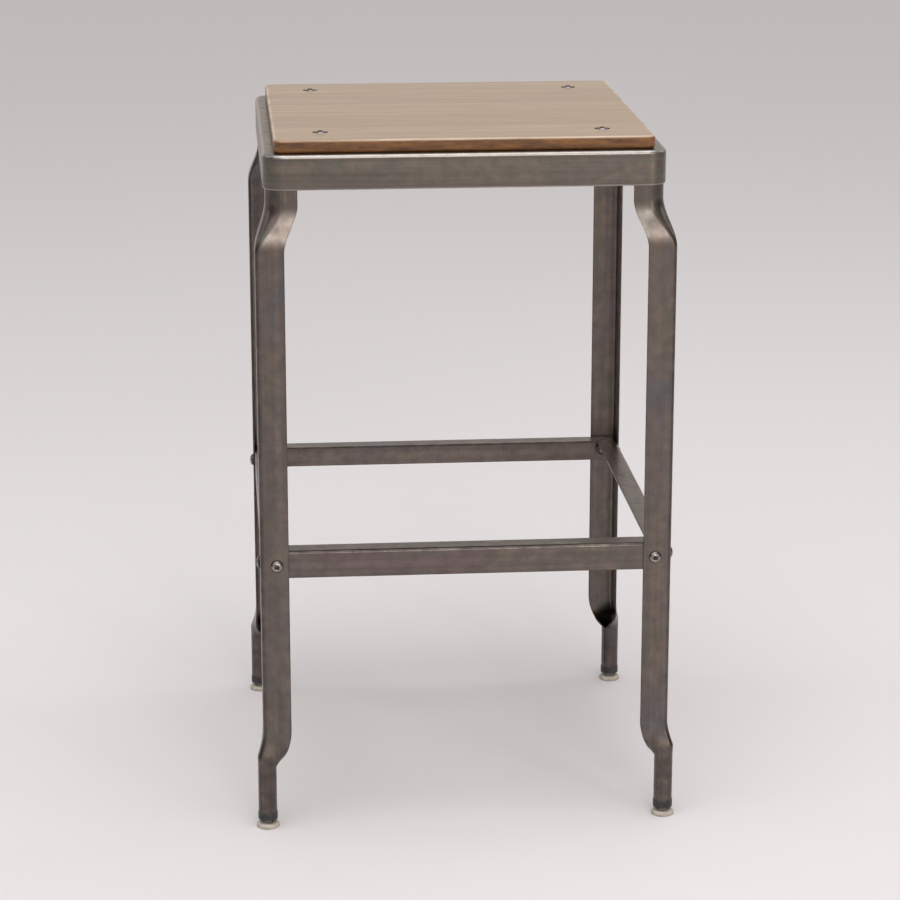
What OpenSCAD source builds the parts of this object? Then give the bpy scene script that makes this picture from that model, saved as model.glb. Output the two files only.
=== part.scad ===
// Backless bar stool: glued wooden seat on a pressed steel pan, four rolled sheet legs,
// a bolted ring of footrest rails and four levelling feet.
// Millimetres. +Z up, front towards -Y, origin on the floor at the middle of the four feet.

/* [Seat] */
// Height of the wooden seat's top above the floor
seat_height = 762; // [740:1:790]
// Side of the square wooden seat
seat_w = 404; // [396:1:408]
// Thickness of the seat boards
board_t = 14; // [12:0.5:16]
// Number of boards glued edge to edge, front to back
board_count = 5; // [4, 5, 6]
// Plan radius of the wooden seat's corners
seat_corner_r = 9; // [6:0.5:12]
// Radius along the seat's upper and lower edges
seat_edge_r = 3; // [2:0.5:4]
// Distance between neighbouring seat bolts, both ways
seat_bolt_pitch = 302; // [290:1:312]
// Diameter of the pocket that a seat bolt's head sits in
head_pocket_d = 16.5; // [15:0.5:18]
// How far the crown of a seat bolt stands above the wood
head_proud = 2; // [0:0.5:3.5]

/* [Seat pan] */
// Outside of the square steel pan
pan_w = 428; // [424:1:436]
// Height of the pan, from skirt edge to top face
pan_h = 37; // [32:1:42]
// Plan radius of the pan's corners
pan_corner_r = 22; // [18:1:26]
// Bend radius between the pan's top and its skirt
pan_edge_r = 4; // [3:0.5:4.5]
// Side of the square plate that ties a leg to the pan
plate_w = 80; // [76:1:90]
// Thickness of the corner plates
plate_t = 3; // [3:0.5:5]

/* [Legs] */
// Thickness of all the pressed steel sheet
sheet_t = 2; // [1.8:0.1:2.5]
// Width across the outside of the legs, on their straight run
leg_spread = 448; // [440:1:454]
// Width of each of a leg's two flanges
leg_flange = 31; // [28:0.5:33]
// Outside radius of a leg's corner on the straight run
leg_corner_r = 5.5; // [4:0.5:7]
// Height where the swan neck leaves the seat pan
neck_top = 696; // [690:1:702]
// Height where the swan neck joins the straight run
neck_bottom = 645; // [635:1:655]
// Height where the foot's shaping starts
foot_top = 112; // [105:1:120]
// Height where the corner has swung out to the foot tube
kick_bottom = 83; // [80:1:90]
// Height where the sheet has closed into a tube
tube_top = 70; // [64:1:76]
// Height of the open lower end of the foot tube
tube_bottom = 18; // [17:1:22]
// Distance from the stool's middle to a foot tube's axis, along X and along Y
foot_axis = 220.3; // [217:0.1:223]

/* [Footrest] */
// Height of the footrest's top face above the floor
rail_top = 318; // [280:1:360]
// Height of a rail's upright flange
rail_h = 30; // [28:1:36]
// Width of a rail's top flange
rail_w = 24; // [20:1:28]
// Outside bend radius of a rail
rail_bend_r = 4; // [3:0.5:5]
// Distance of the rail bolts from the stool's middle
rail_bolt_x = 206; // [205:0.1:206.2]
// Drop from the footrest's top face to the rail bolts
rail_bolt_drop = 16; // [14:0.5:18]

/* [Fasteners] */
// Thread diameter of every bolt and of the levelling stems
thread_d = 8; // [8]
// Diameter of the clearance holes for the bolts
hole_d = 8.6; // [8.5:0.1:9]
// Diameter of the domed bolt heads
head_d = 14; // [13:0.5:14]
// Height of the domed bolt heads
head_h = 4.4; // [4:0.1:4.5]
// Hexagon socket across its flats
socket_af = 5; // [4:0.5:6]
// Nuts across their flats
nut_af = 13; // [13]
// Height of the nuts
nut_h = 6.7; // [6:0.1:6.8]
// Outside diameter of the washers under the seat
washer_d = 24; // [20:1:26]
// Thickness of the washers under the seat
washer_t = 1.6; // [1.5:0.1:2]

/* [Levelling feet] */
// Diameter of the pad that stands on the floor
pad_d = 25; // [24:0.5:27]
// Height of the pad
pad_h = 5.5; // [5:0.1:6]
// Diameter of the plastic plug's rim
plug_rim_d = 21.6; // [21:0.1:22]
// Height of the plastic plug's rim
plug_rim_h = 9; // [8:0.1:9.1]
// Length of the plug inside the foot tube
plug_depth = 21; // [18:1:24]
// How far a foot can be screwed out
level_travel = 10; // [5:1:12]

/* [Hidden] */
$fn = 48;

WOOD = [0.72, 0.62, 0.50];
STEEL = [0.40, 0.37, 0.34];
DARK_STEEL = [0.16, 0.16, 0.17];
BLACK_PLASTIC = [0.05, 0.05, 0.055];
PALE_PLASTIC = [0.78, 0.76, 0.72];

// corner signs: front is -Y, left is -X
FRONT_LEFT = [-1, -1];
FRONT_RIGHT = [1, -1];
REAR_LEFT = [-1, 1];
REAR_RIGHT = [1, 1];
CORNERS = [FRONT_LEFT, FRONT_RIGHT, REAR_LEFT, REAR_RIGHT];

GAP = 0.05;                          // radial clearance of a nut, bore or socket on its thread
CUT = 1;                             // how far a cutting shape reaches past what it cuts

board_w = seat_w / board_count;
head_seat_z = seat_height + head_proud - head_h;
seat_bolt_length = 30;
rail_bolt_length = 12;
socket_depth = 2.6;
hex_r = nut_af / 2 / cos(30);

pan_top = seat_height - board_t;
pan_bottom = pan_top - pan_h;
pan_inside = pan_w / 2 - sheet_t;    // half width inside the skirt, where the legs stand
plate_z = pan_top - sheet_t - plate_t;
plate_gap = 0.5;                     // between a corner plate and the skirt
plate_chamfer = 20;                  // cut off the corner plate's two inner corners
nut_face_z = plate_z - washer_t;

leg_out = leg_spread / 2;            // outer plane of a leg's straight run
rail_out = leg_out - sheet_t;        // outer plane of a rail, against the leg's inner face
rail_end = leg_out - leg_corner_r - 1;
rail_bolt_z = rail_top - rail_bolt_drop;
mitre_gap = 0.3;                     // between the top flanges of neighbouring rails

plug_bottom = tube_bottom - plug_rim_h;
plug_round_r = 1.2;                  // bevel round the plug's lower edge
collar_bottom = pad_h + 0.1;
collar_top = plug_bottom - 0.3;
stem_grip = 15;                      // thread left in the plug with the foot screwed right out
stem_top = plug_bottom + level_travel + stem_grip;
flange_bottom = 1.6;                 // underside of the stem's foot, inside the pad
flange_h = 1.6;
flange_r = 7;
flange_play = 0.1;                   // above and below the stem's foot in its pad

// ---- The leg: one strip of sheet, bent to an angle and rolled to a tube at its foot ----

mean_corner_r = leg_corner_r - sheet_t / 2;
// half the strip's width, along the middle of the sheet from the corner to one edge
half_strip = leg_flange - leg_corner_r + mean_corner_r * PI / 4;
seam = 0.4;                          // open seam of the rolled tube
tube_mean_r = (2 * half_strip + seam) / (2 * PI);
tube_inner_r = tube_mean_r - sheet_t / 2;
tube_outer_r = tube_mean_r + sheet_t / 2;
corner_steps = 3;
flange_steps = 8;
// half the angle of one facet of the tube, and the largest plug that fits inside the facets
facet_half = (half_strip - mean_corner_r * PI / 4) / flange_steps / tube_mean_r / 2 * 180 / PI;
plug_r = tube_inner_r * cos(facet_half) - 0.02;

// 0 below the swan neck, 1 above it
function neck_blend(z) =
    z <= neck_bottom ? 0 : z >= neck_top ? 1
    : (1 - cos(180 * (z - neck_bottom) / (neck_top - neck_bottom))) / 2;
// how far the corner has swung out over the tube, 0 to 1
function kick_blend(z) =
    z >= foot_top ? 0 : z <= kick_bottom ? 1
    : 1 - cos(90 * (foot_top - z) / (foot_top - kick_bottom));
// how far the strip has closed into a tube, 0 to 1
function close_blend(z) =
    z >= foot_top ? 0 : z <= tube_top ? 1 : pow((foot_top - z) / (foot_top - tube_top), 3);

function leg_plane(z) = leg_out + (pan_inside - leg_out) * neck_blend(z);
function outer_corner_r(z) = leg_corner_r + (pan_corner_r - sheet_t - leg_corner_r) * neck_blend(z);

// distances along the strip, from its middle to its edge
function strip_stations(bend_len) = concat(
    [for (i = [0 : corner_steps - 1]) bend_len * i / corner_steps],
    [for (i = [0 : flange_steps]) bend_len + (half_strip - bend_len) * i / flange_steps]);

// [along, inwards, heading] of the sheet's middle at distance s; k1 and k2 are curvatures
function strip_point(s, bend_len, k1, k2) =
    let (a1 = k1 * min(s, bend_len) * 180 / PI,
         rest = max(0, s - bend_len),
         a = a1 + k2 * rest * 180 / PI,
         along = sin(a1) / k1 + (k2 < 1e-6 ? rest * cos(a1) : (sin(a) - sin(a1)) / k2),
         inwards = (1 - cos(a1)) / k1 + (k2 < 1e-6 ? rest * sin(a1) : (cos(a1) - cos(a)) / k2))
    [along, inwards, a];

// closed outline of the sheet at height z, for the corner at +X +Y
function leg_ring(z) =
    let (r = outer_corner_r(z),
         rm = r - sheet_t / 2,
         closing = close_blend(z),
         k1 = (1 - closing) / rm + closing / tube_mean_r,
         k2 = closing / tube_mean_r,
         bend_len = rm * PI / 4,
         angle_middle = leg_plane(z) - r + rm / sqrt(2),
         // swung out, the flanges are in line with the tube's outside
         swung_middle = foot_axis + tube_outer_r - r + rm / sqrt(2),
         tube_middle = foot_axis + tube_mean_r / sqrt(2),
         foot_middle = swung_middle + (tube_middle - swung_middle) * closing,
         middle = angle_middle + (foot_middle - angle_middle) * kick_blend(z),
         pts = [for (s = strip_stations(bend_len)) strip_point(s, bend_len, k1, k2)],
         n = len(pts),
         face = function (side, out, p)
             let (al = side * (p[0] + out * sin(p[2]) * sheet_t / 2),
                  inw = p[1] - out * cos(p[2]) * sheet_t / 2)
             [middle + (-al - inw) / sqrt(2), middle + (al - inw) / sqrt(2), z])
    concat(
        [for (i = [n - 1 : -1 : 0]) face(1, 1, pts[i])],
        [for (i = [1 : n - 1]) face(-1, 1, pts[i])],
        [for (i = [n - 1 : -1 : 0]) face(-1, -1, pts[i])],
        [for (i = [1 : n - 1]) face(1, -1, pts[i])]);

function steps_between(z0, z1, n) = [for (i = [0 : n]) z0 + (z1 - z0) * i / n];
leg_heights = concat([tube_bottom], steps_between(tube_top, foot_top, 9),
                     steps_between(neck_bottom, neck_top, 7), [plate_z]);

// skin over a stack of rings; each ring runs along the sheet's outer face and back along its
// inner face, so its ends close with a strip of four-cornered patches
module loft(rings) {
    n = len(rings[0]);
    m = len(rings);
    points = [for (ring = rings) for (p = ring) p];
    sides = [for (j = [0 : m - 2]) for (i = [0 : n - 1]) for (half = [0, 1])
        let (a = j * n + i, b = j * n + (i + 1) % n)
        half == 0 ? [a, a + n, b] : [b, a + n, b + n]];
    low_end = [for (i = [0 : n / 2 - 2]) [i, i + 1, n - 2 - i, n - 1 - i]];
    high_end = [for (q = low_end) [for (k = [3 : -1 : 0]) q[k] + (m - 1) * n]];
    polyhedron(points, concat(sides, low_end, high_end));
}

// the corner at +X +Y, turned to any corner by mirroring
module at_corner(corner) {
    mirror([corner[0] < 0 ? 1 : 0, 0, 0]) mirror([0, corner[1] < 0 ? 1 : 0, 0]) children();
}

module leg(corner) {
    color(STEEL) at_corner(corner) difference() {
        loft([for (z = leg_heights) leg_ring(z)]);
        translate([rail_bolt_x, rail_out, rail_bolt_z]) rotate([-90, 0, 0]) bolt_hole(sheet_t);
        translate([rail_out, rail_bolt_x, rail_bolt_z]) rotate([0, 90, 0]) bolt_hole(sheet_t);
    }
}

// ---- Flat and pressed shapes ----

module rounded_square(half, r) {
    square([2 * half, 2 * (half - r)], center = true);
    square([2 * (half - r), 2 * half], center = true);
    for (c = CORNERS) translate([c[0] * (half - r), c[1] * (half - r)]) circle(r = r);
}

// square block with rounded upright edges and rounded rims above and below
module soft_block(half, corner_r, edge_r, z0, z1) {
    inner = half - edge_r;
    run = 2 * (half - corner_r);
    translate([0, 0, z0 + edge_r]) linear_extrude(z1 - z0 - 2 * edge_r) rounded_square(half, corner_r);
    translate([0, 0, z0]) linear_extrude(z1 - z0) rounded_square(inner, corner_r - edge_r);
    for (z = [z0 + edge_r, z1 - edge_r]) {
        for (s = [-1, 1]) {
            translate([0, s * inner, z]) rotate([0, 90, 0]) cylinder(r = edge_r, h = run, center = true);
            translate([s * inner, 0, z]) rotate([90, 0, 0]) cylinder(r = edge_r, h = run, center = true);
        }
        for (c = CORNERS)
            translate([c[0] * (half - corner_r), c[1] * (half - corner_r), z])
                rotate_extrude() translate([corner_r - edge_r, 0]) circle(r = edge_r);
    }
}

// clearance hole through a thickness that starts at z = 0
module bolt_hole(thickness) {
    translate([0, 0, -CUT]) cylinder(d = hole_d, h = thickness + 2 * CUT);
}

module at_seat_bolts(z) {
    for (c = CORNERS) translate([c[0] * seat_bolt_pitch / 2, c[1] * seat_bolt_pitch / 2, z]) children();
}

module seat_board(number) {
    front = -seat_w / 2 + (number - 1) * board_w;
    color(WOOD) difference() {
        intersection() {
            soft_block(seat_w / 2, seat_corner_r, seat_edge_r, pan_top, seat_height);
            translate([-seat_w, front, 0]) cube([2 * seat_w, board_w, 2 * seat_height]);
        }
        at_seat_bolts(pan_top) bolt_hole(board_t);
        at_seat_bolts(head_seat_z) cylinder(d = head_pocket_d, h = board_t);
    }
}

// section through the pan's edge: X from a corner's centre outwards, Y up from the skirt's edge
module pan_section() {
    r = pan_edge_r;
    translate([pan_corner_r - sheet_t, 0]) square([sheet_t, pan_h - r]);
    translate([0, pan_h - sheet_t]) square([pan_corner_r - r, sheet_t]);
    intersection() {
        translate([pan_corner_r - r, pan_h - r]) difference() {
            circle(r = r);
            circle(r = r - sheet_t);
        }
        translate([pan_corner_r - r, pan_h - r]) square([r, r]);
    }
}

module seat_pan() {
    straight = pan_w / 2 - pan_corner_r;
    color(STEEL) translate([0, 0, pan_bottom]) difference() {
        union() {
            for (turn = [0 : 90 : 270]) rotate([0, 0, turn]) {
                translate([straight, straight, 0]) rotate_extrude(angle = 90) pan_section();
                translate([straight, straight, 0]) rotate([90, 0, 0])
                    linear_extrude(2 * straight) pan_section();
            }
            translate([-straight, -straight, pan_h - sheet_t]) cube([2 * straight, 2 * straight, sheet_t]);
        }
        at_seat_bolts(pan_h - sheet_t) bolt_hole(sheet_t);
    }
}

// plan of a corner plate whose outer edges and round corner stop at edge
module plate_plan(edge) {
    round_r = edge - (pan_w / 2 - pan_corner_r);
    near = pan_inside - plate_gap - plate_w;
    polygon([[near, edge], [near, near + plate_chamfer], [near + plate_chamfer, near], [edge, near],
             [edge, edge - round_r], [edge - round_r, edge]]);
    translate([edge - round_r, edge - round_r]) circle(r = round_r);
}

// square plate under the pan, standing on a leg's top end; its edge steps in past the pan's bend
module corner_plate(corner) {
    step_h = plate_t - (pan_edge_r - sheet_t);
    color(STEEL) at_corner(corner) translate([0, 0, plate_z]) difference() {
        union() {
            linear_extrude(plate_t) plate_plan(pan_w / 2 - pan_edge_r - GAP);
            linear_extrude(step_h) plate_plan(pan_inside - plate_gap);
        }
        translate([seat_bolt_pitch / 2, seat_bolt_pitch / 2, 0]) bolt_hole(plate_t);
    }
}

// ---- Footrest ----

// section of a rail in its own plane: X outwards, Y up, outer corner at the origin
module rail_section() {
    r = rail_bend_r;
    difference() {
        union() {
            translate([-rail_w, -sheet_t]) square([rail_w - r, sheet_t]);
            translate([-sheet_t, -rail_h]) square([sheet_t, rail_h - r]);
            intersection() {
                translate([-r, -r]) circle(r = r);
                translate([-r, -r]) square([r, r]);
            }
        }
        translate([-r, -r]) circle(r = r - sheet_t);
    }
}

// what the mitre takes off the top flange at the rail's +X end
module mitre_cut() {
    bend = rail_out - rail_bend_r;
    inner = rail_out - rail_w - CUT;
    translate([0, 0, rail_top - sheet_t - CUT]) linear_extrude(sheet_t + 2 * CUT)
        polygon([[rail_end + CUT, bend], [bend - mitre_gap, bend],
                 [inner - mitre_gap, inner], [rail_end + CUT, inner]]);
}

// rail along the side that faces +Y
module rail_side() {
    color(STEEL) difference() {
        translate([-rail_end, rail_out, rail_top]) rotate([90, 0, 90])
            linear_extrude(2 * rail_end) rail_section();
        for (s = [0, 1]) mirror([s, 0, 0]) {
            mitre_cut();
            translate([rail_bolt_x, rail_out - sheet_t, rail_bolt_z]) rotate([-90, 0, 0]) bolt_hole(sheet_t);
        }
    }
}

module footrest_rail(turn) { rotate([0, 0, turn]) rail_side(); }

// ---- Fasteners ----

// domed socket-head bolt pointing down, its head resting on z = 0
module button_bolt(length) {
    crown_r = (pow(head_d / 2, 2) + pow(head_h, 2)) / (2 * head_h);
    color(DARK_STEEL) difference() {
        union() {
            intersection() {
                translate([0, 0, head_h - crown_r]) sphere(r = crown_r);
                cylinder(d = head_d, h = head_h);
            }
            translate([0, 0, -length]) cylinder(d = thread_d, h = length + CUT);
        }
        translate([0, 0, head_h - socket_depth]) cylinder(r = socket_af / 2 / cos(30), h = head_h, $fn = 6);
    }
}

module hex_nut() {
    color(DARK_STEEL) rotate([0, 0, 30]) difference() {
        cylinder(r = hex_r, h = nut_h, $fn = 6);
        translate([0, 0, -CUT]) cylinder(r = thread_d / 2 + GAP, h = nut_h + 2 * CUT);
    }
}

// places a child on each leg face, z outwards, at the given distance from the middle
module at_rail_bolts(distance) {
    for (turn = [0 : 90 : 270]) rotate([0, 0, turn]) for (s = [-1, 1])
        translate([s * rail_bolt_x, -distance, rail_bolt_z]) rotate([90, 0, 0]) children();
}

module seat_bolts() { at_seat_bolts(head_seat_z) button_bolt(seat_bolt_length); }

module seat_washers() {
    color(DARK_STEEL) at_seat_bolts(nut_face_z) difference() {
        cylinder(d = washer_d, h = washer_t);
        bolt_hole(washer_t);
    }
}

module seat_nuts() { at_seat_bolts(nut_face_z - nut_h) hex_nut(); }

module rail_bolts() { at_rail_bolts(leg_out) button_bolt(rail_bolt_length); }

module rail_nuts() { at_rail_bolts(rail_out - sheet_t - nut_h) hex_nut(); }

// ---- Levelling feet ----

module at_foot(corner) {
    translate([corner[0] * foot_axis, corner[1] * foot_axis, 0]) children();
}

// plastic plug pressed into the foot tube, bored right through for the levelling stem
module foot_plug(corner) {
    rim_r = plug_rim_d / 2;
    color(BLACK_PLASTIC) at_foot(corner) difference() {
        union() {
            translate([0, 0, plug_bottom + plug_round_r]) cylinder(r = rim_r, h = plug_rim_h - plug_round_r);
            translate([0, 0, plug_bottom]) cylinder(r1 = rim_r - plug_round_r, r2 = rim_r, h = plug_round_r);
            translate([0, 0, tube_bottom]) cylinder(r = plug_r, h = plug_depth);
        }
        translate([0, 0, plug_bottom - CUT])
            cylinder(r = thread_d / 2 + GAP, h = plug_rim_h + plug_depth + 2 * CUT);
    }
}

// threaded stem with a hexagon collar for the spanner and a foot that turns in the pad
module level_stem(corner) {
    color(DARK_STEEL) at_foot(corner) {
        translate([0, 0, flange_bottom]) cylinder(r = flange_r, h = flange_h);
        translate([0, 0, flange_bottom]) cylinder(d = thread_d, h = stem_top - flange_bottom);
        translate([0, 0, collar_bottom]) cylinder(r = hex_r, h = collar_top - collar_bottom, $fn = 6);
    }
}

// round pad that stays still on the floor while the stem turns in it
module floor_pad(corner) {
    lip = 1;                         // bevel round the pad's base; the top bevel is twice that
    color(PALE_PLASTIC) at_foot(corner) difference() {
        rotate_extrude() polygon([[0, 0], [pad_d / 2 - lip, 0], [pad_d / 2, lip],
                                  [pad_d / 2, pad_h - 2 * lip], [pad_d / 2 - 2 * lip, pad_h], [0, pad_h]]);
        translate([0, 0, flange_bottom - flange_play])
            cylinder(r = flange_r + GAP, h = flange_h + 2 * flange_play);
        translate([0, 0, flange_bottom]) cylinder(r = thread_d / 2 + GAP, h = pad_h);
    }
}

seat_board(1);  // seat_board_1
seat_board(2);  // seat_board_2
seat_board(3);  // seat_board_3
seat_board(4);  // seat_board_4
seat_board(5);  // seat_board_5
seat_pan();
corner_plate(FRONT_LEFT);  // corner_plate_front_left
corner_plate(FRONT_RIGHT);  // corner_plate_front_right
corner_plate(REAR_LEFT);  // corner_plate_rear_left
corner_plate(REAR_RIGHT);  // corner_plate_rear_right
leg(FRONT_LEFT);  // leg_front_left
leg(FRONT_RIGHT);  // leg_front_right
leg(REAR_LEFT);  // leg_rear_left
leg(REAR_RIGHT);  // leg_rear_right
footrest_rail(180);  // footrest_rail_front
footrest_rail(0);  // footrest_rail_rear
footrest_rail(90);  // footrest_rail_left
footrest_rail(-90);  // footrest_rail_right
seat_bolts();
seat_washers();
seat_nuts();
rail_bolts();
rail_nuts();
foot_plug(FRONT_LEFT);  // foot_plug_front_left
foot_plug(FRONT_RIGHT);  // foot_plug_front_right
foot_plug(REAR_LEFT);  // foot_plug_rear_left
foot_plug(REAR_RIGHT);  // foot_plug_rear_right
level_stem(FRONT_LEFT);  // level_stem_front_left
level_stem(FRONT_RIGHT);  // level_stem_front_right
level_stem(REAR_LEFT);  // level_stem_rear_left
level_stem(REAR_RIGHT);  // level_stem_rear_right
floor_pad(FRONT_LEFT);  // floor_pad_front_left
floor_pad(FRONT_RIGHT);  // floor_pad_front_right
floor_pad(REAR_LEFT);  // floor_pad_rear_left
floor_pad(REAR_RIGHT);  // floor_pad_rear_right
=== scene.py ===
import math

import bmesh
import bpy
from mathutils import Matrix, Vector


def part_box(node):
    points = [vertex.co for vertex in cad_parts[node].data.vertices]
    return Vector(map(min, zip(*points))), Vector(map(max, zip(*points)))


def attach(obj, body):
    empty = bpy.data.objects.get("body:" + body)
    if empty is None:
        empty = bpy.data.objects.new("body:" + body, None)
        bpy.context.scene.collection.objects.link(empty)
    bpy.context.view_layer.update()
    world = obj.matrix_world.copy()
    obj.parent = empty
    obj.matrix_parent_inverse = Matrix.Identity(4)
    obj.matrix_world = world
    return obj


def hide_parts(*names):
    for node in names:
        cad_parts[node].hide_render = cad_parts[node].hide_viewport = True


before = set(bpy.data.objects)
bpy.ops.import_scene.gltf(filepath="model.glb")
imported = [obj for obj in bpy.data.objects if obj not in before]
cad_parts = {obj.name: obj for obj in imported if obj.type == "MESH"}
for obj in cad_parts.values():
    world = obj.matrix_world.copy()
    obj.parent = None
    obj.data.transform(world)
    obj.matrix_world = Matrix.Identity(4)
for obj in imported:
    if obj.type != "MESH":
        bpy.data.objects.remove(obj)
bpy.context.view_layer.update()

# ---- Sizes: metres, +Z up, front towards -Y. Places come from the frame's boxes. ----

MM = 0.001
CORNERS = {"front_left": (-1, -1), "front_right": (1, -1), "rear_left": (-1, 1), "rear_right": (1, 1)}

SHEET = 2 * MM                      # thickness of all the pressed steel
EDGE_ROUND = 0.35 * MM              # rounding of cut edges
CLEARANCE = 0.05 * MM               # radial, around a thread and around a plug's socket
ROUND_STEPS = 48                    # sides of a small turned ring
WIDE_STEPS = 64                     # sides of a wide one
SAME = 1e-6                         # coordinates closer than this are the same


def low(node, axis):
    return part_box(node)[0][axis]


def high(node, axis):
    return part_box(node)[1][axis]


# seat
SEAT_TOP = high("seat_board_3", 2)
SEAT_HALF = high("seat_board_3", 0)
BOARD_BOTTOM = low("seat_board_3", 2)
SEAT_CORNER_R = 9 * MM
SEAT_EDGE_R = 3 * MM
SAWN_ROUND = 0.3 * MM               # rounding of the boards' joints and pockets
POCKET_R = 8.25 * MM
HEAD_R = 7 * MM
HEAD_H = 4.4 * MM
SEAT_BOLT_X = high("seat_bolts", 0) - HEAD_R
HEAD_PROUD = 2 * MM                 # how far the crown of a seat bolt stands above the wood
HEAD_SEAT_Z = SEAT_TOP + HEAD_PROUD - HEAD_H
SEAT_BOLT_LENGTH = HEAD_SEAT_Z - low("seat_bolts", 2)

# pan
PAN_HALF = high("seat_pan", 0)
PAN_TOP = high("seat_pan", 2)
PAN_BOTTOM = low("seat_pan", 2)
PAN_CORNER_R = 22 * MM
PAN_EDGE_R = 4 * MM
PLATE_OUT = high("corner_plate_rear_right", 0)
PLATE_IN = low("corner_plate_rear_right", 0)
PLATE_CHAMFER = 20 * MM

# footrest
RAIL_OUT = high("footrest_rail_rear", 1)
RAIL_END = high("footrest_rail_rear", 0)
RAIL_TOP = high("footrest_rail_rear", 2)
RAIL_H = RAIL_TOP - low("footrest_rail_rear", 2)
RAIL_W = RAIL_OUT - low("footrest_rail_rear", 1)
RAIL_BEND_R = 4 * MM
RAIL_MITRE_GAP = 0.3 * MM
RAIL_BOLT_Z = (high("rail_bolts", 2) + low("rail_bolts", 2)) / 2
RAIL_BOLT_X = 206 * MM
RAIL_BOLT_LENGTH = 12 * MM

# legs
LEG_OUT = RAIL_OUT + SHEET
LEG_TOP = high("leg_rear_right", 2)
TUBE_BOTTOM = low("leg_rear_right", 2)
LEG_FLANGE = 31 * MM
LEG_CORNER_R = 5.5 * MM
NECK_TOP = 696 * MM
NECK_BOTTOM = 645 * MM
FOOT_TOP = 112 * MM
KICK_BOTTOM = 83 * MM
TUBE_TOP = 70 * MM
FOOT_AXIS = (low("foot_plug_rear_right", 0) + high("foot_plug_rear_right", 0)) / 2
SEAM = 0.4 * MM

# fasteners and feet
THREAD_R = 4 * MM
THREAD_PITCH = 1.25 * MM
THREAD_DEPTH = 0.7 * MM
THREAD_FLANK = 1.35                 # steepness of a thread's flanks
THREAD_ROOT = 0.12                  # how far its V reaches below the flat root, in thread depths
BORE_R = THREAD_R + CLEARANCE
SOCKET_AF = 5 * MM
SOCKET_DEPTH = 2.6 * MM
NUT_AF = 13 * MM
NUT_TURNED_R = NUT_AF / 2 * 0.94    # where the chamfer of a hexagon's end starts
NUT_CHAMFER = math.tan(math.radians(30))
NUT_H = high("seat_nuts", 2) - low("seat_nuts", 2)
NUT_Z = low("seat_nuts", 2)
WASHER_Z = low("seat_washers", 2)
WASHER_H = high("seat_washers", 2) - WASHER_Z
WASHER_R = 12 * MM
WASHER_HOLE_R = 4.3 * MM

# camera: where the photographer stood, aimed at the stool
CAMERA_AZIMUTH = math.radians(-4.73)
CAMERA_DISTANCE = 3.223
CAMERA_HEIGHT = 1.263
CAMERA_AIM = (0, 0, 0.366)
CAMERA_LENS = 116
CAMERA_SENSOR = 36


def clamp(t):
    return min(max(t, 0), 1)


QUARTER = [math.radians(a) for a in range(0, 91, 10)]     # the steps of a bend in sheet


def smooth_step(t):
    return (1 - math.cos(math.pi * clamp(t))) / 2


def spread(start, end, count):
    """count equal steps from start to end, both included."""
    return [start + (end - start) * i / count for i in range(count + 1)]


# ---- Mesh building ----

class Shell:
    """Points, faces and edge marks of one piece. A mark of 1 takes the most of its material's edge colour:
    wear and dirt on some pieces, painted highlight, painted dark reflection and painted shade on others.
    """

    def __init__(self):
        self.points = []
        self.faces = []
        self.marks = []

    def stack(self, rings, marks, place=Matrix.Identity(4), closed=False, cap="flat"):
        """Skins a stack of rings. marks holds one mark a ring, or one list of marks a ring.

        A closed stack joins its last ring to its first. Otherwise each end is capped, by one flat face
        or, for the long thin outline of a bent sheet, by a strip of faces between its two sides.
        """
        base = len(self.points)
        n = len(rings[0])
        for ring, mark in zip(rings, marks):
            self.points += [place @ Vector(p) for p in ring]
            self.marks += list(mark) if isinstance(mark, (list, tuple)) else [mark] * n
        pairs = list(zip(range(len(rings)), range(1, len(rings))))
        if closed:
            pairs.append((len(rings) - 1, 0))
        for j, k in pairs:
            for i in range(n):
                i2 = (i + 1) % n
                self.faces.append([base + j * n + i, base + j * n + i2,
                                   base + k * n + i2, base + k * n + i])
        if closed:
            return
        for start in (base, base + (len(rings) - 1) * n):
            if cap == "strip":
                self.faces += [[start + i, start + i + 1, start + n - 2 - i, start + n - 1 - i]
                               for i in range(n // 2 - 1)]
            else:
                self.faces.append([start + i for i in range(n)])

    def slab(self, outline, z0, z1, mark=1):
        self.stack([[(x, y, z) for x, y in outline] for z in (z0, z1)], [mark, mark])


def make_object(name, shell):
    """An object with that shell's faces, turned outwards, and its marks as an attribute."""
    mesh = bpy.data.meshes.new(name)
    mesh.from_pydata([tuple(p) for p in shell.points], [], shell.faces)
    mark = mesh.attributes.new("edge_wear_and_painted_light", "FLOAT", "POINT")
    mark.data.foreach_set("value", shell.marks)
    work = bmesh.new()
    work.from_mesh(mesh)
    bmesh.ops.recalc_face_normals(work, faces=work.faces)
    work.to_mesh(mesh)
    work.free()
    made = bpy.data.objects.new(name, mesh)
    bpy.context.scene.collection.objects.link(made)
    return made


def finish_piece(piece, material, body, nodes, rounding=0.0, sharp_angle=38):
    """Shading, rounded cut edges, material and the piece's place in the frame."""
    piece.data.materials.clear()
    piece.data.materials.append(material)
    piece.data.shade_smooth()
    if rounding:
        bevel = piece.modifiers.new("rounded edges", "BEVEL")
        bevel.width = rounding
        bevel.segments = 2
        bevel.limit_method = "ANGLE"
        bevel.angle_limit = math.radians(sharp_angle)
    else:
        piece.data.set_sharp_from_angle(angle=math.radians(sharp_angle))
    weighted = piece.modifiers.new("flat faces stay flat", "WEIGHTED_NORMAL")
    weighted.keep_sharp = True
    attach(piece, body)
    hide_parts(*nodes)


def circle(radius, z, count=ROUND_STEPS):
    return [(radius * math.cos(2 * math.pi * i / count), radius * math.sin(2 * math.pi * i / count), z)
            for i in range(count)]


def turned(profile, count=ROUND_STEPS):
    """Rings and marks of a turned shape; profile holds (radius, z, mark)."""
    return [circle(radius, z, count) for radius, z, _ in profile], [mark for _, _, mark in profile]


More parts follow.
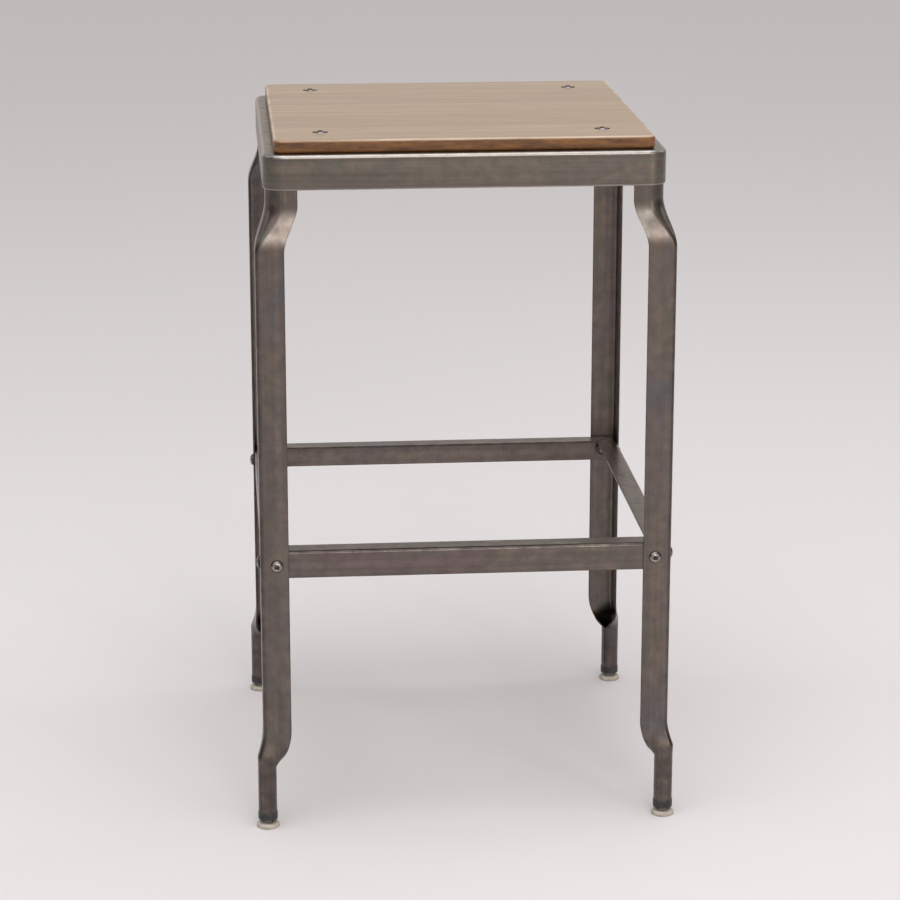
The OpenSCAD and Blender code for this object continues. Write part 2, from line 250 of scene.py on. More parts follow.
def hexagon_radius(across_flats, angle):
    sixth = math.pi / 3
    return across_flats / 2 / math.cos((angle % sixth) - sixth / 2)


def hexagon(across_flats, z_of_radius):
    """A hexagon with its corners on multiples of 60 degrees; z follows the radius, for chamfers."""
    ring = []
    for i in range(ROUND_STEPS):
        angle = 2 * math.pi * i / ROUND_STEPS
        radius = hexagon_radius(across_flats, angle)
        ring.append((radius * math.cos(angle), radius * math.sin(angle), z_of_radius(radius)))
    return ring


def chamfer_fall(radius):
    """How far the chamfer at a nut's end lies behind that end at a radius."""
    return max(0, radius - NUT_TURNED_R) * NUT_CHAMFER


def thread(z_low, z_high, rows_a_turn=8):
    """Rings of a right-hand screw thread between two heights, from the bottom up."""
    rings = []
    rows = max(2, round((z_high - z_low) / THREAD_PITCH * rows_a_turn))
    for z in spread(z_low, z_high, rows):
        fade = min(1, (z - z_low) / THREAD_PITCH, (z_high - z) / THREAD_PITCH)
        ring = []
        for i in range(ROUND_STEPS):
            phase = (z / THREAD_PITCH - i / ROUND_STEPS) % 1
            tooth = clamp(abs(2 * phase - 1) * THREAD_FLANK - THREAD_ROOT)
            radius = THREAD_R - THREAD_DEPTH * (1 - tooth * fade)
            angle = 2 * math.pi * i / ROUND_STEPS
            ring.append((radius * math.cos(angle), radius * math.sin(angle), z))
        rings.append(ring)
    return rings


# ---- Node building ----

def add_node(tree, kind, inputs=None, **settings):
    made = tree.nodes.new("ShaderNode" + kind)
    for key, value in settings.items():
        setattr(made, key, value)
    for key, value in (inputs or {}).items():
        if isinstance(value, bpy.types.NodeSocket):
            tree.links.new(value, made.inputs[key])
        else:
            made.inputs[key].default_value = value
    return made


def new_material(name):
    """A material with its node tree, its shader and the place of each point in metres."""
    made = bpy.data.materials.new(name)
    made.use_nodes = True
    tree = made.node_tree
    shader = next(n for n in tree.nodes if n.type == "BSDF_PRINCIPLED")
    place = add_node(tree, "TexCoord").outputs["Object"]
    return made, tree, shader, place


def stretched(tree, place, scale, turn=(0, 0, 0), shift=(0, 0, 0)):
    return add_node(tree, "Mapping", {"Vector": place, "Scale": scale, "Rotation": turn,
                                      "Location": shift}).outputs[0]


def noise(tree, place, scale, detail=3.0, roughness=0.5, distortion=0.0):
    return add_node(tree, "TexNoise", {"Vector": place, "Scale": scale, "Detail": detail,
                                       "Roughness": roughness, "Distortion": distortion}).outputs[0]


def remap(tree, value, from_low, from_high, to_low=0.0, to_high=1.0):
    """value moved from one range to another and kept within it."""
    return add_node(tree, "MapRange", {"Value": value, "From Min": from_low, "From Max": from_high,
                                       "To Min": to_low, "To Max": to_high}).outputs[0]


def calculate(tree, operation, first, second):
    return add_node(tree, "Math", {0: first, 1: second}, operation=operation).outputs[0]


def mix(tree, factor, first, second, blend="MIX"):
    return add_node(tree, "Mix", {0: factor, 6: first, 7: second}, data_type="RGBA",
                    blend_type=blend).outputs[2]


def ramp(tree, value, stops):
    made = add_node(tree, "ValToRGB", {0: value})
    elements = made.color_ramp.elements
    while len(elements) < len(stops):
        elements.new(0.5)
    for element, (position, colour) in zip(elements, stops):
        element.position = position
        element.color = (*colour, 1)
    return made.outputs[0]


def bump(tree, height, distance, strength=1.0, below=None):
    inputs = {"Height": height, "Distance": distance, "Strength": strength}
    if below is not None:
        inputs["Normal"] = below
    return add_node(tree, "Bump", inputs).outputs[0]


# the marks stand for wear and dirt on some materials and for painted highlight and painted shade on others
def edge_wear_and_painted_light(tree):
    return add_node(tree, "Attribute", attribute_name="edge_wear_and_painted_light").outputs["Fac"]


def brushed_steel(name, brushing, edge_colour, shade):
    """Patinated sheet steel under a satin lacquer. brushing is the noise scale along X, Y and Z."""
    def tinted(*colour):
        return [a * b for a, b in zip(shade, colour)]

    material, tree, shader, place = new_material(name)
    fine = noise(tree, stretched(tree, place, brushing), 1.0, 3.0, 0.6)
    broad = noise(tree, stretched(tree, place, [s * 0.12 for s in brushing]), 1.0, 3.0, 0.55)
    patches = noise(tree, stretched(tree, place, [7 + s * 0.004 for s in brushing]), 1.0, 4.0, 0.62, 0.8)
    mottle = noise(tree, place, 75.0, 5.0, 0.62)
    specks = noise(tree, place, 420.0, 2.0, 0.5)
    patina = ramp(tree, patches, [(0.34, tinted(0.150, 0.156, 0.174)), (0.43, tinted(0.205, 0.170, 0.156)),
                                  (0.50, tinted(0.236, 0.190, 0.158)), (0.56, tinted(0.172, 0.166, 0.138)),
                                  (0.64, tinted(0.206, 0.154, 0.158))])
    mottled = mix(tree, remap(tree, mottle, 0.38, 0.70, 0.0, 0.75), patina,
                  (*tinted(0.117, 0.096, 0.089), 1))
    streaked = mix(tree, remap(tree, fine, 0.3, 0.72, 0.0, 0.26), mottled,
                   (*tinted(0.31, 0.268, 0.248), 1))
    banded = mix(tree, remap(tree, broad, 0.36, 0.68, 0.0, 0.50), streaked,
                 (*tinted(0.112, 0.094, 0.089), 1))
    # edge_colour is painted at the marks: painted highlight on the pan's bends, painted dark reflection and
    # painted shade on the legs and rails
    marked = calculate(tree, "MULTIPLY", edge_wear_and_painted_light(tree), remap(tree, mottle, 0.32, 0.58, 0.45, 1.0))
    edged = mix(tree, calculate(tree, "MULTIPLY", marked, 0.85), banded, (*edge_colour, 1))
    pitted = mix(tree, remap(tree, specks, 0.70, 0.74, 0.0, 0.6), edged, (0.06, 0.052, 0.047, 1))
    rough = calculate(tree, "ADD", remap(tree, mottle, 0.3, 0.7, 0.29, 0.40),
                      remap(tree, fine, 0.3, 0.7, -0.03, 0.05))
    dents = bump(tree, noise(tree, place, 22.0, 2.0), 0.00045, 0.5)
    pores = bump(tree, mottle, 0.00006, 0.4, dents)
    tree.links.new(pitted, shader.inputs["Base Color"])
    tree.links.new(rough, shader.inputs["Roughness"])
    tree.links.new(bump(tree, fine, 0.00003, 0.45, pores), shader.inputs["Normal"])
    shader.inputs["Metallic"].default_value = 1.0
    shader.inputs["Coat Weight"].default_value = 0.25
    shader.inputs["Coat Roughness"].default_value = 0.2
    return material


# each board: its tilt in the log in degrees, how far off the log's middle it lies, how much darker it is
BOARDS = {1: (-2.2, 0.012, 0.0), 2: (1.4, -0.03, 0.05), 3: (-0.8, 0.022, 0.015), 4: (2.6, -0.016, 0.06),
          5: (-1.7, 0.034, 0.025)}


def seat_wood(number):
    """Oiled wood with its grain along X. Each board is cut from another place in the log."""
    material, tree, shader, place = new_material(f"seat_wood_{number}")
    degrees, off_middle, shade = BOARDS[number]
    tilt = math.radians(degrees)
    log = stretched(tree, place, (1, 1, 1), (0, tilt, tilt * 0.6),
                    (0.35 * number, off_middle, 0.058 + 0.006 * number))
    waver = noise(tree, stretched(tree, log, (3, 16, 16)), 1.0, 2.0)
    shift = add_node(tree, "CombineXYZ", {"Y": remap(tree, waver, 0, 1, -0.012, 0.012),
                                          "Z": remap(tree, waver, 0, 1, 0.010, -0.010)}).outputs[0]
    bent = add_node(tree, "VectorMath", {0: log, 1: shift}, operation="ADD").outputs[0]
    rings = add_node(tree, "TexWave", {"Vector": bent, "Scale": 44.0, "Distortion": 0.6, "Detail": 2.0,
                                       "Detail Scale": 1.2, "Detail Roughness": 0.5},
                     wave_type="RINGS", rings_direction="X", wave_profile="SAW").outputs[1]
    fibres = noise(tree, stretched(tree, place, (9, 700, 700), shift=(number, 0, 0)), 1.0, 4.0, 0.65)
    streaks = noise(tree, stretched(tree, place, (2.4, 75, 75), shift=(number * 3, 0, 0)), 1.0, 4.0, 0.6)
    pores = noise(tree, stretched(tree, place, (75, 1500, 1500)), 1.0, 2.0, 0.5)
    cloud = noise(tree, stretched(tree, place, (5, 22, 22)), 1.0, 4.0, 0.6)
    base = ramp(tree, streaks, [(0.30, (0.240 - shade * 0.6, 0.140 - shade * 0.4, 0.062 - shade * 0.3)),
                                (0.50, (0.300 - shade, 0.180 - shade * 0.7, 0.082 - shade * 0.4)),
                                (0.70, (0.350 - shade, 0.220 - shade * 0.7, 0.106 - shade * 0.4))])
    ringed = mix(tree, remap(tree, rings, 0.55, 1.0, 0.0, 0.30), base, (0.165, 0.088, 0.040, 1))
    fibred = mix(tree, remap(tree, fibres, 0.35, 0.7, 0.0, 0.42), ringed, (0.170, 0.096, 0.048, 1))
    clouded = mix(tree, remap(tree, cloud, 0.42, 0.72, 0.0, 0.30), fibred, (0.36, 0.23, 0.125, 1))
    pored = mix(tree, remap(tree, pores, 0.62, 0.69, 0.0, 0.6), clouded, (0.06, 0.032, 0.016, 1))
    # painted shade: every face that doesn't face up is multiplied by the amber blotches, darker than the
    # top; the amber blotches are the wood's own tone
    upright = add_node(tree, "SeparateXYZ", {0: add_node(tree, "NewGeometry").outputs["Normal"]}).outputs[2]
    side = remap(tree, upright, 0.75, 0.2, 0.0, 0.95)
    blotch = noise(tree, stretched(tree, place, (42, 42, 210), shift=(number, 0, 0)), 1.0, 4.0, 0.65)
    amber = mix(tree, remap(tree, blotch, 0.30, 0.68), (0.17, 0.085, 0.028, 1), (0.86, 0.57, 0.25, 1))
    amber_and_painted_side_shade = mix(tree, side, pored, amber, "MULTIPLY")
    # the pale line on the top's rounded edges, strongest where they face up, is partly wear and partly
    # painted highlight
    patchy = calculate(tree, "MULTIPLY", edge_wear_and_painted_light(tree), remap(tree, cloud, 0.40, 0.60, 0.15, 0.9))
    marked = calculate(tree, "MULTIPLY", patchy, remap(tree, upright, 0.3, 0.75, 0.0, 0.8))
    wear_and_painted_highlight = mix(tree, marked, amber_and_painted_side_shade, (0.66, 0.52, 0.38, 1))
    swell = bump(tree, cloud, 0.0005, 0.3)
    grain = bump(tree, rings, 0.00008, 0.4, swell)
    tree.links.new(wear_and_painted_highlight, shader.inputs["Base Color"])
    tree.links.new(remap(tree, fibres, 0.3, 0.7, 0.30, 0.46), shader.inputs["Roughness"])
    tree.links.new(bump(tree, fibres, 0.00008, 0.4, grain), shader.inputs["Normal"])
    tree.links.new(remap(tree, upright, 0.3, 0.9, 0.15, 0.75), shader.inputs["Coat Weight"])
    shader.inputs["Coat Roughness"].default_value = 0.24
    return material


def turned_steel(name, dark, light, edge_colour, roughness):
    """Turned and oxidised steel, cloudy between two greys, with the marked edges in a third."""
    material, tree, shader, place = new_material(name)
    cloud = noise(tree, place, 180.0, 4.0, 0.6)
    grains = noise(tree, place, 1500.0, 3.0, 0.6)
    body = mix(tree, remap(tree, cloud, 0.3, 0.7), (*dark, 1), (*light, 1))
    marked = calculate(tree, "MULTIPLY", edge_wear_and_painted_light(tree), remap(tree, cloud, 0.35, 0.6, 0.5, 1.0))
    tree.links.new(mix(tree, marked, body, (*edge_colour, 1)), shader.inputs["Base Color"])
    rough = remap(tree, cloud, 0.3, 0.7, roughness - 0.06, roughness + 0.1)
    tree.links.new(rough, shader.inputs["Roughness"])
    tree.links.new(bump(tree, grains, 0.00002, 0.5), shader.inputs["Normal"])
    shader.inputs["Metallic"].default_value = 1.0
    return material


def moulded_plastic(name, colour, dirt, roughness):
    """Moulded plastic with a fine spark-eroded texture, dirty and scuffed on its edges."""
    material, tree, shader, place = new_material(name)
    grains = noise(tree, place, 2200.0, 3.0, 0.6)
    cloud = noise(tree, place, 140.0, 5.0, 0.65)
    soiled = mix(tree, remap(tree, cloud, 0.42, 0.72, 0.0, 0.7), (*colour, 1), (*dirt, 1))
    marked = calculate(tree, "MULTIPLY", edge_wear_and_painted_light(tree), remap(tree, cloud, 0.4, 0.6, 0.1, 0.8))
    tree.links.new(mix(tree, marked, soiled, (*dirt, 1)), shader.inputs["Base Color"])
    rough = remap(tree, cloud, 0.3, 0.7, roughness - 0.08, roughness + 0.1)
    tree.links.new(rough, shader.inputs["Roughness"])
    tree.links.new(bump(tree, grains, 0.00004, 0.6), shader.inputs["Normal"])
    return material


PAINTED_BEND_HIGHLIGHT = (0.46, 0.42, 0.39)         # painted highlight along the pan's bends and the skirt's lower edge
PAINTED_DARK_EDGES = (0.045, 0.034, 0.031)   # painted dark reflection along the legs' and rails' corners and cut edges, painted shade inside the feet's tubes, the tubes darker as well
LEG_STEEL = brushed_steel("leg_steel", (1500, 1500, 16), PAINTED_DARK_EDGES, (0.78, 0.77, 0.77))
PAN_STEEL = brushed_steel("pan_steel", (16, 16, 1500), PAINTED_BEND_HIGHLIGHT, (0.90, 0.93, 0.90))
# the rails across and the rails along are the same steel; their shades differ as painted light: the rails
# along painted lighter and lilac, the rails across darker
RAIL_X_STEEL_PAINTED_DARKER = brushed_steel("rail_steel_across_painted_darker", (16, 1500, 1500), PAINTED_DARK_EDGES, (0.82, 0.80, 0.80))
RAIL_Y_STEEL_PAINTED_LIGHTER = brushed_steel("rail_steel_along_painted_lighter", (1500, 16, 1500), PAINTED_DARK_EDGES, (0.92, 0.88, 0.92))
# the near-black edge colour is painted shade on the head's rim and in its socket
BOLT_STEEL = turned_steel("bolt_steel", (0.22, 0.20, 0.19), (0.36, 0.33, 0.31),
                          (0.012, 0.010, 0.010), 0.24)
NUT_STEEL = turned_steel("nut_steel", (0.045, 0.038, 0.036), (0.085, 0.070, 0.064),
                         (0.15, 0.14, 0.13), 0.34)
STEM_STEEL = turned_steel("stem_steel", (0.09, 0.088, 0.085), (0.16, 0.155, 0.15),
                          (0.24, 0.235, 0.23), 0.32)
PLUG_PLASTIC = moulded_plastic("plug_plastic", (0.012, 0.012, 0.013), (0.05, 0.048, 0.045), 0.42)
PAD_PLASTIC = moulded_plastic("pad_plastic", (0.50, 0.455, 0.395), (0.30, 0.26, 0.20), 0.46)


# ---- Legs: one strip of sheet each, an angle rolled to a tube at the foot ----

MEAN_CORNER_R = LEG_CORNER_R - SHEET / 2
HALF_STRIP = LEG_FLANGE - LEG_CORNER_R + MEAN_CORNER_R * math.pi / 4
TUBE_MEAN_R = (2 * HALF_STRIP + SEAM) / (2 * math.pi)
CORNER_STEPS = 8
FLANGE_STEPS = 10
PAINTED_DARK_EDGE_BAND = 1.2 * MM                # how far in from a cut edge the painted dark reflection reaches
INSIDE_SHADE_FADE = 12 * MM                 # over how much height the painted shade inside the tube fades out above it


def leg_shape(z):
    """(middle of the strip, curvature of the corner, curvature of the flanges, corner's length) at z."""
    neck = smooth_step((z - NECK_BOTTOM) / (NECK_TOP - NECK_BOTTOM))
    plane = LEG_OUT + (PAN_HALF - SHEET - LEG_OUT) * neck
    radius = LEG_CORNER_R + (PAN_CORNER_R - SHEET - LEG_CORNER_R) * neck
    mean_r = radius - SHEET / 2
    kick = 1 - math.cos(math.pi / 2 * clamp((FOOT_TOP - z) / (FOOT_TOP - KICK_BOTTOM)))
    closing = clamp((FOOT_TOP - z) / (FOOT_TOP - TUBE_TOP)) ** 3
    angle_middle = plane - radius + mean_r / math.sqrt(2)
    # swung out, the flanges are in line with the tube's outside
    swung_middle = FOOT_AXIS + TUBE_MEAN_R + SHEET / 2 - radius + mean_r / math.sqrt(2)
    tube_middle = FOOT_AXIS + TUBE_MEAN_R / math.sqrt(2)
    foot_middle = swung_middle + (tube_middle - swung_middle) * closing
    return (angle_middle + (foot_middle - angle_middle) * kick,
            (1 - closing) / mean_r + closing / TUBE_MEAN_R, closing / TUBE_MEAN_R, mean_r * math.pi / 4)


def leg_ring(corner, z):
    """The sheet's outline at height z, along its outer face and back along its inner one, with marks."""
    middle, corner_bend, flange_bend, corner_length = leg_shape(z)
    stations = spread(0, corner_length, CORNER_STEPS)[:-1]
    stations += spread(corner_length, HALF_STRIP - PAINTED_DARK_EDGE_BAND, FLANGE_STEPS) + [HALF_STRIP]
    strip = []
    for s in stations:
        first = corner_bend * min(s, corner_length)
        rest = max(0, s - corner_length)
        heading = first + flange_bend * rest
        along = math.sin(first) / corner_bend
        inwards = (1 - math.cos(first)) / corner_bend
        if flange_bend < 1e-3:
            along += rest * math.cos(first)
            inwards += rest * math.sin(first)
        else:
            along += (math.sin(heading) - math.sin(first)) / flange_bend
            inwards += (math.cos(first) - math.cos(heading)) / flange_bend
        strip.append((along, inwards, heading))

    def face(side, out, station):
        along, inwards, heading = station
        across = side * (along + out * math.sin(heading) * SHEET / 2)
        depth = inwards - out * math.cos(heading) * SHEET / 2
        x = middle + (-across - depth) / math.sqrt(2)
        y = middle + (across - depth) / math.sqrt(2)
        return (corner[0] * x, corner[1] * y, z)

    ring = [face(1, 1, p) for p in reversed(strip)] + [face(-1, 1, p) for p in strip[1:]]
    ring += [face(-1, -1, p) for p in reversed(strip)] + [face(1, -1, p) for p in strip[1:]]
    # painted dark reflection along the corner and the cut edges, a darker tube, and painted shade inside it
    rolled = 0.5 * smooth_step((FOOT_TOP - z) / (FOOT_TOP - TUBE_TOP))
    bend = [max(rolled, max(0, 1 - s / corner_length) * 0.8) for s in stations[:-1]] + [1]
    outer = bend[::-1] + bend[1:]
    inner = [smooth_step((KICK_BOTTOM + INSIDE_SHADE_FADE - z) / INSIDE_SHADE_FADE)] * len(outer)
    inner[0] = inner[-1] = 1
    return ring, outer + inner


def make_leg(name, corner):
    heights = spread(TUBE_BOTTOM, TUBE_TOP, 8)[:-1] + spread(TUBE_TOP, FOOT_TOP, 30)
    heights += spread(FOOT_TOP, NECK_BOTTOM, 12)[1:-1] + spread(NECK_BOTTOM, NECK_TOP, 24) + [LEG_TOP]
    rings = [leg_ring(corner, z) for z in heights]
    shell = Shell()
    shell.stack([r[0] for r in rings], [r[1] for r in rings], cap="strip")
    piece = make_object("leg_sheet_" + name, shell)
    finish_piece(piece, LEG_STEEL, "frame", ["leg_" + name], 0.15 * MM)


# ---- Seat ----

def arc(cx, cy, radius, start, end, steps):
    """Points of an arc; angles in degrees."""
    return [(cx + radius * math.cos(math.radians(a)), cy + radius * math.sin(math.radians(a)))
            for a in spread(start, end, steps)]


def board_outline(front, rear):
    """Plan outline of the part of the rounded seat between two Y values, with its outer corners round."""
    half, radius, steps = SEAT_HALF, SEAT_CORNER_R, 8
    outline = []
    for x_sign, y, y_sign, start in ((-1, front, -1, 180), (1, front, -1, 270),
                                     (1, rear, 1, 0), (-1, rear, 1, 90)):
        if abs(y - y_sign * half) < SAME:
            centre = half - radius
            outline += arc(x_sign * centre, y_sign * centre, radius, start, start + 90, steps)
        else:
            outline.append((x_sign * half, y))
    return outline


def cut_pockets(piece, y):
    """Cuts the two round pockets that the seat bolts' heads sit in."""
    cutter_shell = Shell()
    for side in (-1, 1):
        place = Matrix.Translation((side * SEAT_BOLT_X, y, 0))
        cutter_shell.stack(*turned([(POCKET_R, HEAD_SEAT_Z, 0), (POCKET_R, SEAT_TOP + SEAT_EDGE_R, 0)],
                                   WIDE_STEPS), place)
    cutter = make_object("pocket_cutter", cutter_shell)
    cut = piece.modifiers.new("pockets", "BOOLEAN")
    cut.operation = "DIFFERENCE"
    cut.solver = "EXACT"
    cut.object = cutter
    depsgraph = bpy.context.evaluated_depsgraph_get()
    carved = bpy.data.meshes.new_from_object(piece.evaluated_get(depsgraph))
    piece.modifiers.clear()
    piece.data = carved
    bpy.data.objects.remove(cutter)


def make_board(number):
    """One board of the seat, rounded along the edges that lie on the seat's rim, above and below."""
    node = f"seat_board_{number}"
    front, rear = low(node, 1), high(node, 1)
    shell = Shell()
    shell.slab(board_outline(front, rear), BOARD_BOTTOM, SEAT_TOP, 0)
    piece = make_object(f"wood_board_{number}", shell)
    work = bmesh.new()
    work.from_mesh(piece.data)

    def is_outer_rim(edge):
        a, b = (vert.co for vert in edge.verts)
        on_joint = any(abs(a.y - y) < SAME and abs(b.y - y) < SAME and abs(abs(y) - SEAT_HALF) > SAME
                       for y in (front, rear))
        above, below = min(a.z, b.z) > SEAT_TOP - SAME, max(a.z, b.z) < BOARD_BOTTOM + SAME
        return (above or below) and not on_joint

    made = bmesh.ops.bevel(work, geom=[e for e in work.edges if is_outer_rim(e)], offset=SEAT_EDGE_R,
                           segments=7, profile=0.5, affect="EDGES", clamp_overlap=True)
    # the top's rounded edges are marked for the pale line, partly wear and partly painted highlight
    mark = work.verts.layers.float["edge_wear_and_painted_light"]
    for vert in made["verts"]:
        vert[mark] = float(SEAT_TOP - SEAT_EDGE_R + SAME < vert.co.z < SEAT_TOP - SAME)
    work.to_mesh(piece.data)
    work.free()
    if number in (1, 5):
        cut_pockets(piece, math.copysign(SEAT_BOLT_X, front + rear))
    finish_piece(piece, seat_wood(number), "frame", [node], SAWN_ROUND)


def rounded_square_ring(half, radius, z, corner_steps=10, side_steps=10):
    """A level ring with round corners, its straight sides cut into steps as well."""
    ring = []
    centre = half - radius
    for x_sign, y_sign, start in ((1, 1, 0), (-1, 1, 90), (-1, -1, 180), (1, -1, 270)):
        corner = arc(x_sign * centre, y_sign * centre, radius, start, start + 90, corner_steps)
        ring += [(x, y, z) for x, y in corner]
        heading = math.radians(start + 180)
        x, y = corner[-1]
        for i in range(1, side_steps):
            along = 2 * centre * i / side_steps
            ring.append((x + along * math.cos(heading), y + along * math.sin(heading), z))
    return ring


def make_pan():
    """The pressing, skinned along its section: points of (distance in from the skirt, Z, mark)."""
    r_out, r_in = PAN_EDGE_R, PAN_EDGE_R - SHEET
    middle = 60 * MM
    fade = 4 * MM                   # from the bend to where its painted highlight ends
    lip = 0.5 * MM
    # the marks paint a highlight along the bend and along the skirt's lower edge
    path = [(middle, PAN_TOP, 0), (r_out + fade, PAN_TOP, 0)]
    path += [(r_out * (1 - math.sin(a)), PAN_TOP - r_out * (1 - math.cos(a)), math.sin(2 * a))
             for a in QUARTER]
    path += [(0, PAN_TOP - r_out - fade, 0), (0, PAN_BOTTOM + SHEET, 0), (0, PAN_BOTTOM + lip, 0.7)]
    path += [(lip * 0.3, PAN_BOTTOM + lip * 0.3, 1), (lip, PAN_BOTTOM, 1), (SHEET - lip, PAN_BOTTOM, 1)]
    path += [(SHEET - lip * 0.3, PAN_BOTTOM + lip * 0.3, 1), (SHEET, PAN_BOTTOM + lip, 0.5)]
    path += [(SHEET, PAN_BOTTOM + SHEET, 0)]
    path += [(r_out - r_in * math.cos(a), PAN_TOP - r_out + r_in * math.sin(a), 0) for a in QUARTER]
    path += [(middle, PAN_TOP - SHEET, 0)]
    shell = Shell()
    shell.stack([rounded_square_ring(PAN_HALF - inset, max(PAN_CORNER_R - inset, SHEET), z)
                 for inset, z, _ in path], [mark for _, _, mark in path])
    piece = make_object("seat_pan_pressing", shell)
    finish_piece(piece, PAN_STEEL, "frame", ["seat_pan"], 0, 60)


def make_corner_plate(name, corner):
    """The plate inside a corner of the pan, drawn for the corner at +X, +Y and turned over by its signs."""
    node = "corner_plate_" + name
    radius = PLATE_OUT - (PAN_HALF - PAN_CORNER_R)
    corner_arc = arc(PLATE_OUT - radius, PLATE_OUT - radius, radius, 0, 90, 10)
    outline = [(PLATE_OUT, PLATE_IN)] + corner_arc + [(PLATE_IN, PLATE_OUT)]
    outline += [(PLATE_IN, PLATE_IN + PLATE_CHAMFER), (PLATE_IN + PLATE_CHAMFER, PLATE_IN)]
    shell = Shell()
    # every point of the plate is marked, so the painted bend highlight colours all of it
    shell.slab([(corner[0] * x, corner[1] * y) for x, y in outline], low(node, 2), high(node, 2))
    piece = make_object("tie_plate_" + name, shell)
    finish_piece(piece, PAN_STEEL, "frame", [node], EDGE_ROUND)


# ---- Footrest ----

def make_rail(name, turn):
    """An angle of sheet along one side; its top flange is mitred against its neighbours."""
    r_out, r_in = RAIL_BEND_R, RAIL_BEND_R - SHEET
    flat = -r_out - 3 * MM          # where the bend's painted dark reflection ends
    # marks: painted dark reflection along the bend and the cut edges
    outer = [(0, -RAIL_H, 1), (0, -RAIL_H + PAINTED_DARK_EDGE_BAND, 0), (0, flat, 0)]
    outer += [(-r_out + r_out * math.cos(a), -r_out + r_out * math.sin(a), math.sin(2 * a)) for a in QUARTER]
    outer += [(flat, 0, 0), (-RAIL_W + PAINTED_DARK_EDGE_BAND, 0, 0), (-RAIL_W, 0, 1)]
    inner = [(-RAIL_W, -SHEET, 1), (-RAIL_W + PAINTED_DARK_EDGE_BAND, -SHEET, 0), (flat, -SHEET, 0)]
    inner += [(-r_out + r_in * math.cos(a), -r_out + r_in * math.sin(a), 0) for a in reversed(QUARTER)]
    inner += [(-SHEET, flat, 0), (-SHEET, -RAIL_H + PAINTED_DARK_EDGE_BAND, 0), (-SHEET, -RAIL_H, 1)]
    section = outer + inner
    shares = (-1, -0.99, -0.9, -0.6, -0.3, 0, 0.3, 0.6, 0.9, 0.99, 1)
    rings = [[(share * min(RAIL_END, RAIL_OUT + out - RAIL_MITRE_GAP), RAIL_OUT + out, RAIL_TOP + up)
              for out, up, _ in section] for share in shares]
    marks = [mark for _, _, mark in section]
    shell = Shell()
    shell.stack(rings, [marks] * len(rings), Matrix.Rotation(math.radians(turn), 4, "Z"), cap="strip")
    piece = make_object("footrest_angle_" + name, shell)
    steel = RAIL_X_STEEL_PAINTED_DARKER if name in ("front", "rear") else RAIL_Y_STEEL_PAINTED_LIGHTER
    finish_piece(piece, steel, "frame", ["footrest_rail_" + name], EDGE_ROUND)


# ---- Fasteners ----

def add_bolt(shell, place, length):
    """A domed head with a hexagon socket, its underside on z = 0, on a shank with a threaded end."""
    rim = 0.9 * MM
    crown_r = (HEAD_R ** 2 + (HEAD_H - rim) ** 2) / (2 * (HEAD_H - rim))

    def dome(radius):
        return HEAD_H - crown_r + math.sqrt(crown_r ** 2 - radius ** 2)

    tip = 0.6 * MM
    threaded = 5 * MM
    core_r, shank_r = THREAD_R - THREAD_DEPTH, THREAD_R - 0.1 * MM
    rings = [circle(core_r - tip / 2, -length), circle(core_r, -length + tip / 2)]
    rings += thread(-length + tip, -length + threaded)
    rings += [circle(shank_r, -length + threaded + tip), circle(shank_r, 0)]
    marks = [0.4] * 2 + [0.3] * (len(rings) - 4) + [0.6, 0.6]
    # painted shade: the head's rim and socket take the near-black edge colour, the dome darkening towards
    # its rim
    rings += [circle(HEAD_R - 0.3 * MM, 0), circle(HEAD_R, 0.3 * MM), circle(HEAD_R, rim - 0.2 * MM)]
    marks += [1, 1, 1]
    for radius, painted_shade in ((6.85, 1), (6.5, 0.9), (6.0, 0.5), (5.4, 0.15), (4.7, 0), (4.0, 0), (3.5, 0),
                          (3.15, 0)):
        rings.append(circle(radius * MM, dome(radius * MM)))
        marks.append(painted_shade)
    mouth, floor = dome(3.0 * MM) - 0.25 * MM, HEAD_H - SOCKET_DEPTH
    rings += [hexagon(SOCKET_AF, lambda radius: mouth), hexagon(SOCKET_AF, lambda radius: floor)]
    rings += [circle(1.9 * MM, floor - 0.1 * MM), circle(0.2 * MM, floor - 0.9 * MM)]
    marks += [0.6, 1, 1, 1]
    shell.stack(rings, marks, place)


def add_nut(shell, place):
    """A hexagon nut on z = 0 upwards, both ends chamfered, with a plain bore for the bolt's thread."""
    mouth = 0.5 * MM
    marked = 0.25 * MM                # how far down from the chamfer the wear fades out
    rings = [circle(BORE_R, mouth), circle(BORE_R + mouth, 0), circle(NUT_TURNED_R, 0),
             hexagon(NUT_AF, chamfer_fall),
             hexagon(NUT_AF, lambda radius: chamfer_fall(radius) + marked),
             hexagon(NUT_AF, lambda radius: NUT_H - chamfer_fall(radius) - marked),
             hexagon(NUT_AF, lambda radius: NUT_H - chamfer_fall(radius)),
             circle(NUT_TURNED_R, NUT_H), circle(BORE_R + mouth, NUT_H), circle(BORE_R, NUT_H - mouth)]
    flats_level = place @ Matrix.Rotation(math.radians(30), 4, "Z")
    shell.stack(rings, [0, 0.5, 0.3, 1, 0, 0, 1, 0.3, 0.5, 0], flats_level, closed=True)


def add_washer(shell, place):
    soft = 0.3 * MM
    inner, outer, top = WASHER_HOLE_R, WASHER_R, WASHER_H
    profile = [(inner, soft, 0.3), (inner + soft, 0, 0.3), (outer - soft, 0, 0.3), (outer, soft, 1)]
    profile += [(outer, top - soft, 1), (outer - soft, top, 0.3), (inner + soft, top, 0.3)]
    profile += [(inner, top - soft, 0.3)]
    shell.stack(*turned(profile), place, closed=True)


def seat_bolt_places(z):
    return [Matrix.Translation((x * SEAT_BOLT_X, y * SEAT_BOLT_X, z)) for x, y in CORNERS.values()]


